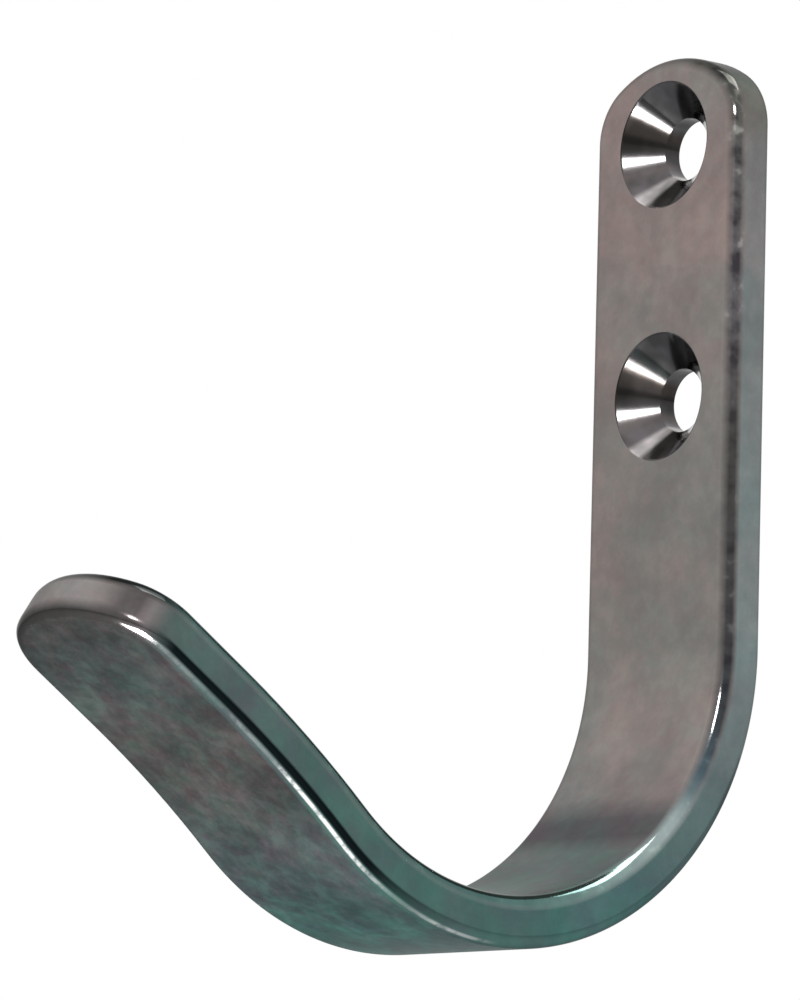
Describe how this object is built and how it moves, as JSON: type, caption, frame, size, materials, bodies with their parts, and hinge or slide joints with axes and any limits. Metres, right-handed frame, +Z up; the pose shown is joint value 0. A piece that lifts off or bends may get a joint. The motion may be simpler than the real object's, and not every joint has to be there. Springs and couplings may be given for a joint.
{
  "type": "coat hook",
  "caption": "J-shaped coat hook bent from flat bar, with rounded ends, soft edges and countersunk screw holes in its wall plate.",
  "frame": {"origin": "on the back face of the plate, halfway between the two screw holes", "axes": "+Z up along the plate, +Y out of the plate's back into the wall, -Y out into the room along the arm, X across the bar's width"},
  "size_m": [0.0164, 0.0618, 0.0715],
  "materials": {
    "steel": "satin"
  },
  "bodies": {
    "root": {"hook": "steel"}
  },
  "joints": []
}
